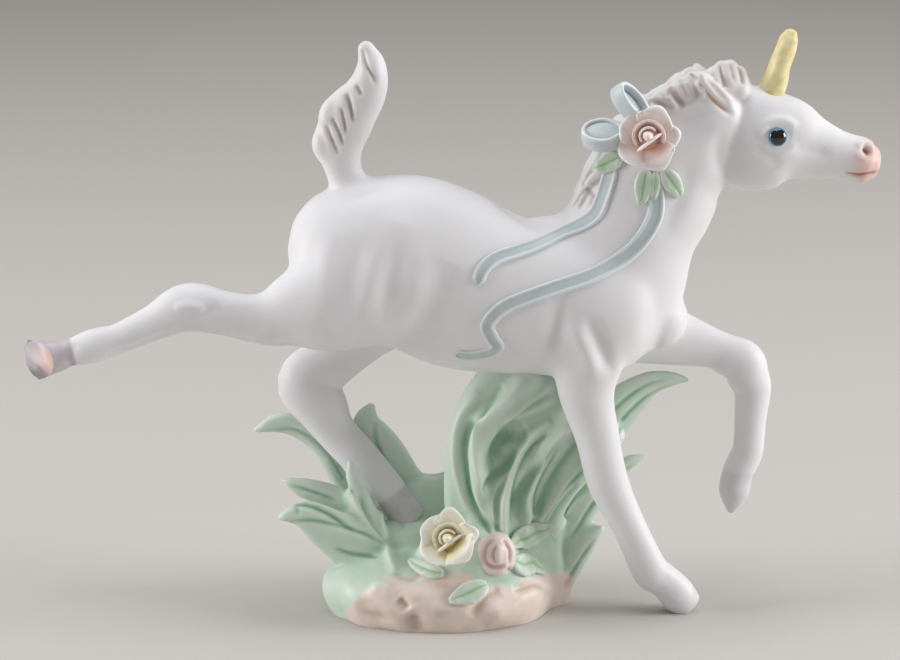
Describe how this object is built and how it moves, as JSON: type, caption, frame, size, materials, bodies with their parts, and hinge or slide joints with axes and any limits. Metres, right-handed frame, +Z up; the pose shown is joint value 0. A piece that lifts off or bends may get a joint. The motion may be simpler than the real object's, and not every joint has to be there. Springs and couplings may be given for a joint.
{
  "type": "unicorn foal figurine",
  "caption": "Small painted bisque porcelain figurine of a galloping unicorn foal over a grass tuft on a ground pad, with a ribbon bow, leaves and hand-built roses; stands on its flat base.",
  "frame": {"origin": "middle of the flat underside of the ground pad", "axes": "+X the way the foal gallops, +Y the foal's left, +Z up"},
  "size_m": [0.1869, 0.0419, 0.1311],
  "materials": {
    "white_bisque": "unglazed matt white bisque porcelain, faintly satin",
    "pink_bisque": "unglazed bisque petals, pale pink with a peach heart",
    "cream_bisque": "unglazed bisque petals, cream with a yellow heart",
    "green_bisque": "bisque painted mint green, darker in the creases",
    "earth_bisque": "bisque painted tan and pinkish brown",
    "blue_bisque": "bisque ribbon painted pale blue grey",
    "yellow_bisque": "bisque horn painted pale yellow",
    "eye_glaze": "black overglaze eye, glossy"
  },
  "bodies": {
    "root": {"unicorn_on_grass": "white_bisque", "neck_rose": "pink_bisque", "ground_rose": "cream_bisque"}
  },
  "joints": []
}
